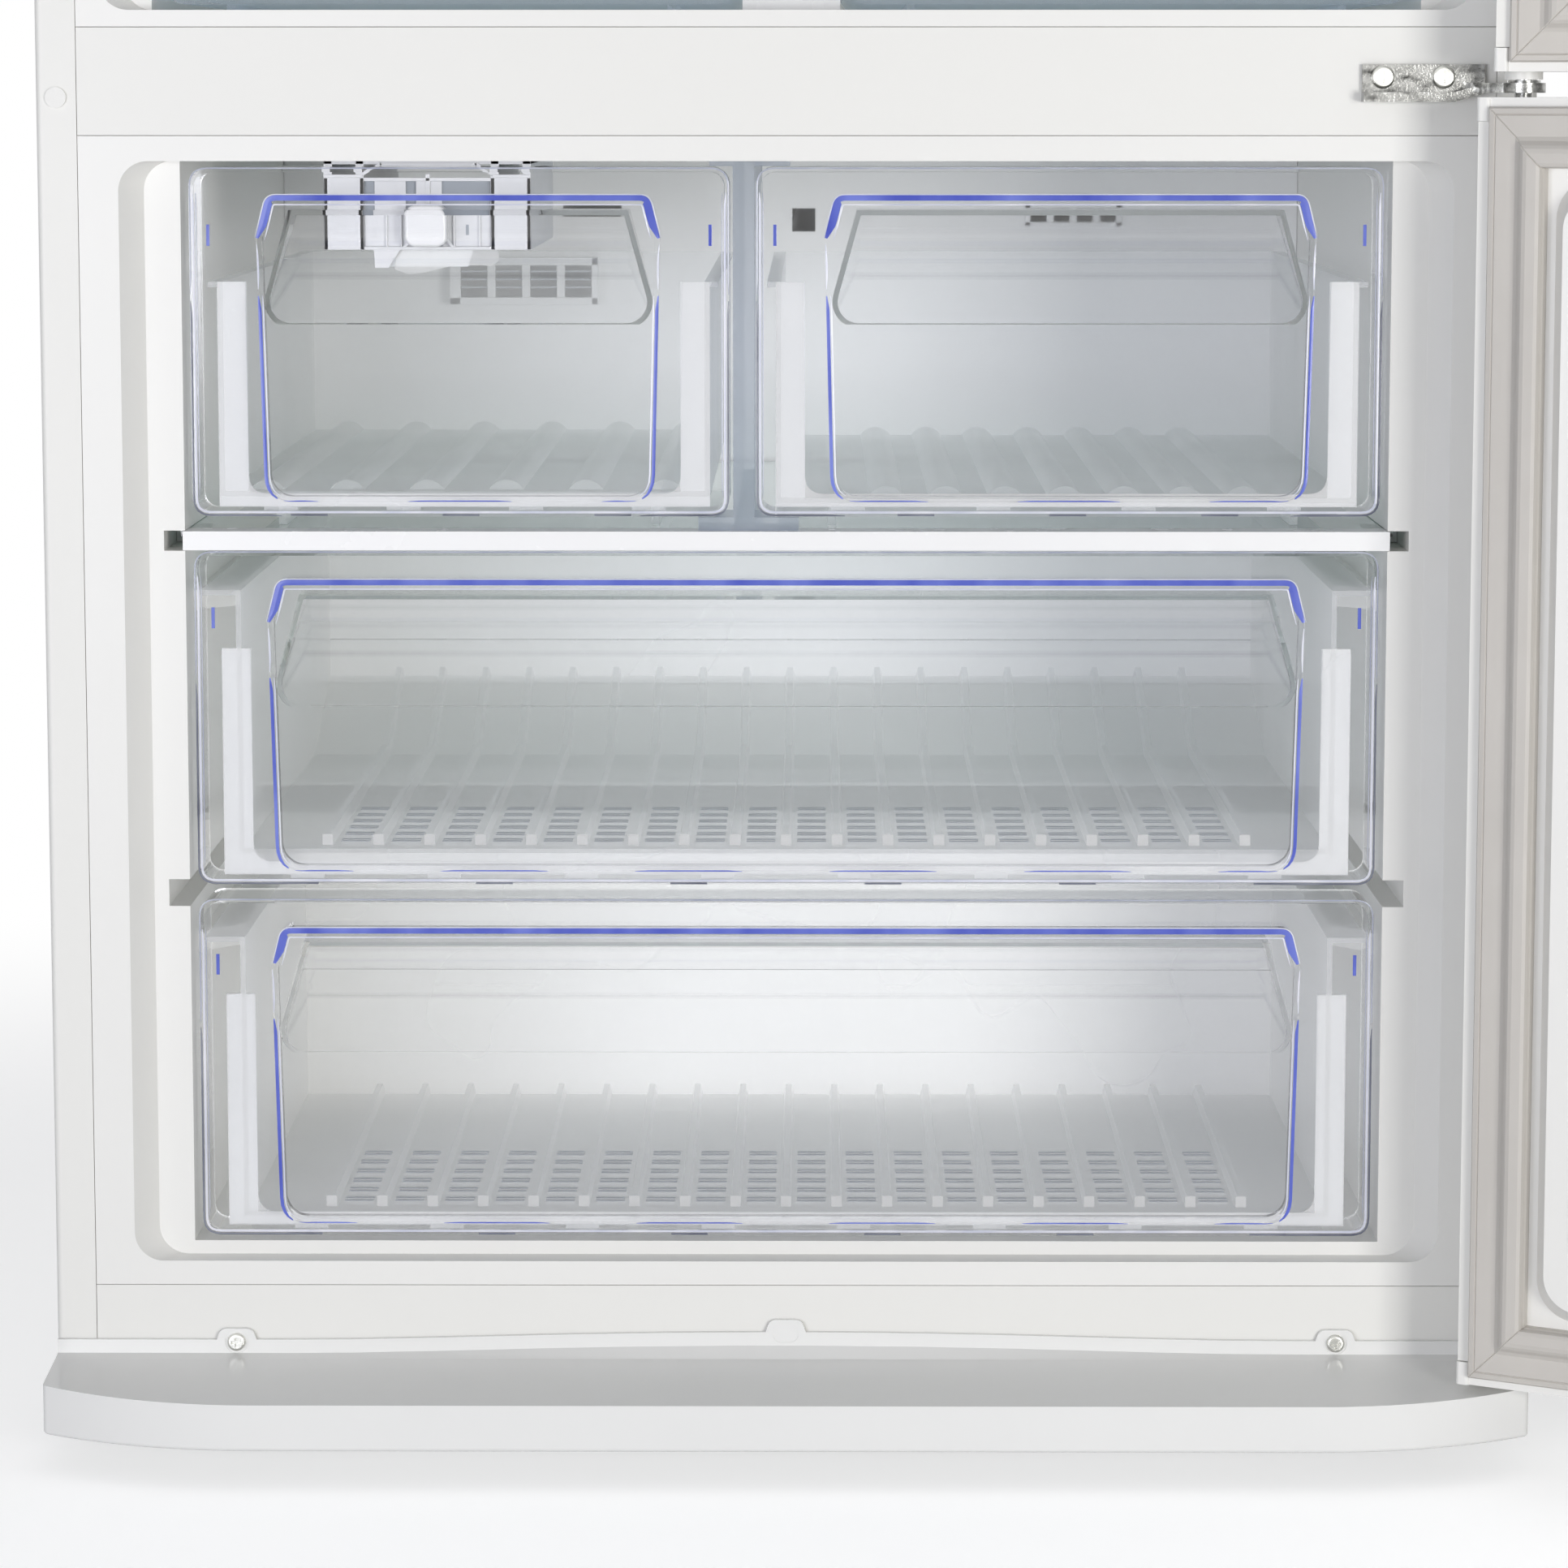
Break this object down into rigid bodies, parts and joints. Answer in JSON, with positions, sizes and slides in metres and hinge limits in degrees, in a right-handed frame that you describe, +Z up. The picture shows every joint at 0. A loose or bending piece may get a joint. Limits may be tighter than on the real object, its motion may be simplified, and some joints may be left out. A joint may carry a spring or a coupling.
{
  "type": "fridge freezer",
  "caption": "Upright fridge freezer with its doors standing open: fridge compartment above, freezer with pull-out drawers below.",
  "frame": {"origin": "on the floor, midway between the two front levelling feet", "axes": "+X to the right seen from the front, +Y from the front to the back, +Z up"},
  "size_m": [1.3682, 0.9956, 1.908],
  "materials": {
    "case_paint": "semi-gloss white enamel",
    "door_paint": "semi-gloss white enamel",
    "rail_paint": "semi-gloss white enamel",
    "galvanised": "dull galvanised sheet",
    "liner_white": "satin vacuum-formed sheet",
    "foam": "foamed in place",
    "kick_grey": "moulded, slight gloss",
    "chrome": "bright chromed steel",
    "zinc": "zinc-plated",
    "bracket_paint": "powder coat",
    "white_plastic": "moulded, fine grain",
    "shelf_glass": "polished safety glass",
    "trim_white": "moulded, slight gloss",
    "divider_clear": "clear moulding",
    "cover_grey": "moulded, fine grain",
    "coil_aluminium": "plain",
    "motor_dark": "moulded",
    "blade_grey": "moulded",
    "lens_clear": "frosted lens",
    "crisper_clear": "clear moulding",
    "tub_frost": "translucent white moulding",
    "front_clear": "clear moulding with blue edges",
    "tray_blue": "flexible moulding",
    "black_steel": "black enamel",
    "black_plastic": "moulded",
    "foot_plastic": "moulded",
    "gasket_grey": "soft matte",
    "handle_grey": "silver-painted moulding",
    "bin_clear": "clear moulding"
  },
  "bodies": {
    "cabinet": {"outer_case": "case_paint", "hole_plugs": "white_plastic", "back_panel": "galvanised", "case_insulation": "foam", "centre_rail": "rail_paint", "bottom_rail": "rail_paint", "base_pan": "galvanised", "freezer_liner": "liner_white", "fridge_liner": "liner_white", "kick_plate": "kick_grey", "screws": "zinc", "middle_hinge_bracket": "chrome", "top_hinge_bracket": "bracket_paint", "bottom_hinge_bracket": "bracket_paint", "hinge_pins": "chrome", "top_hinge_cover": "white_plastic", "shelf_frames": "trim_white", "glass_shelves": "shelf_glass", "freezer_divider": "divider_clear", "ice_maker_frame": "trim_white", "evaporator_cover": "cover_grey", "evaporator": "coil_aluminium", "fan_motor": "motor_dark", "fridge_air_duct": "trim_white", "control_housing": "white_plastic", "lamp_cover": "lens_clear", "compressor": "black_steel", "drain_pan": "black_plastic", "compressor_cover": "galvanised"},
    "upper_door": {"upper_door_skin": "door_paint", "upper_door_caps": "white_plastic", "upper_door_liner": "liner_white", "upper_door_foam": "foam", "upper_door_gasket": "gasket_grey", "upper_door_handle": "handle_grey", "door_bins": "bin_clear"},
    "lower_door": {"lower_door_skin": "door_paint", "lower_door_caps": "white_plastic", "lower_door_liner": "liner_white", "lower_door_foam": "foam", "lower_door_gasket": "gasket_grey", "lower_door_handle": "handle_grey"},
    "drawer_upper_left": {"front_upper_left": "front_clear", "tub_upper_left": "tub_frost"},
    "drawer_upper_right": {"front_upper_right": "front_clear", "tub_upper_right": "tub_frost"},
    "drawer_middle": {"front_middle": "front_clear", "tub_middle": "tub_frost"},
    "drawer_bottom": {"front_bottom": "front_clear", "tub_bottom": "tub_frost"},
    "crisper_drawer_left": {"crisper_left": "crisper_clear"},
    "crisper_drawer_right": {"crisper_right": "crisper_clear"},
    "ice_tray_unit": {"ice_tray": "tray_blue", "ice_tray_knob": "trim_white"},
    "thermostat_knob": {"control_knob": "white_plastic"},
    "fan": {"fan_blade": "blade_grey"},
    "front_foot_left": {"foot_left": "foot_plastic"},
    "front_foot_right": {"foot_right": "foot_plastic"},
    "rear_roller_left": {"roller_left": "black_plastic"},
    "rear_roller_right": {"roller_right": "black_plastic"}
  },
  "joints": [
    {"name": "upper_door_hinge", "type": "hinge", "parent": "cabinet", "child": "upper_door", "pos_m": [0.338, -0.093, 0], "axis": [0, 0, 1], "range_deg": [-170, 5]},
    {"name": "lower_door_hinge", "type": "hinge", "parent": "cabinet", "child": "lower_door", "pos_m": [0.338, -0.093, 0], "axis": [0, 0, 1], "range_deg": [-152, 10]},
    {"name": "drawer_upper_left_slide", "type": "slide", "parent": "cabinet", "child": "drawer_upper_left", "axis": [0, -1, 0], "range_m": [0, 0.3]},
    {"name": "drawer_upper_right_slide", "type": "slide", "parent": "cabinet", "child": "drawer_upper_right", "axis": [0, -1, 0], "range_m": [0, 0.3]},
    {"name": "drawer_middle_slide", "type": "slide", "parent": "cabinet", "child": "drawer_middle", "axis": [0, -1, 0], "range_m": [0, 0.3]},
    {"name": "drawer_bottom_slide", "type": "slide", "parent": "cabinet", "child": "drawer_bottom", "axis": [0, -1, 0], "range_m": [0, 0.22]},
    {"name": "crisper_left_slide", "type": "slide", "parent": "cabinet", "child": "crisper_drawer_left", "axis": [0, -1, 0], "range_m": [0, 0.28]},
    {"name": "crisper_right_slide", "type": "slide", "parent": "cabinet", "child": "crisper_drawer_right", "axis": [0, -1, 0], "range_m": [0, 0.28]},
    {"name": "ice_tray_turn", "type": "hinge", "parent": "cabinet", "child": "ice_tray_unit", "pos_m": [-0.1715, -0.003, 0.5816], "axis": [0, 1, 0], "range_deg": [-120, 0]},
    {"name": "thermostat_turn", "type": "hinge", "parent": "cabinet", "child": "thermostat_knob", "pos_m": [-0.07, 0.015, 1.8247], "axis": [0, 1, 0], "range_deg": [-135, 135]},
    {"name": "fan_spin", "type": "hinge", "parent": "cabinet", "child": "fan", "pos_m": [0, 0.448, 0.5381], "axis": [0, 1, 0], "continuous": true},
    {"name": "foot_left_screw", "type": "hinge", "parent": "cabinet", "child": "front_foot_left", "pos_m": [-0.27, 0, 0], "axis": [0, 0, 1], "continuous": true},
    {"name": "foot_right_screw", "type": "hinge", "parent": "cabinet", "child": "front_foot_right", "pos_m": [0.27, 0, 0], "axis": [0, 0, 1], "continuous": true},
    {"name": "roller_left_spin", "type": "hinge", "parent": "cabinet", "child": "rear_roller_left", "pos_m": [-0.29, 0.505, 0.02], "axis": [1, 0, 0], "continuous": true},
    {"name": "roller_right_spin", "type": "hinge", "parent": "cabinet", "child": "rear_roller_right", "pos_m": [0.29, 0.505, 0.02], "axis": [1, 0, 0], "continuous": true}
  ]
}
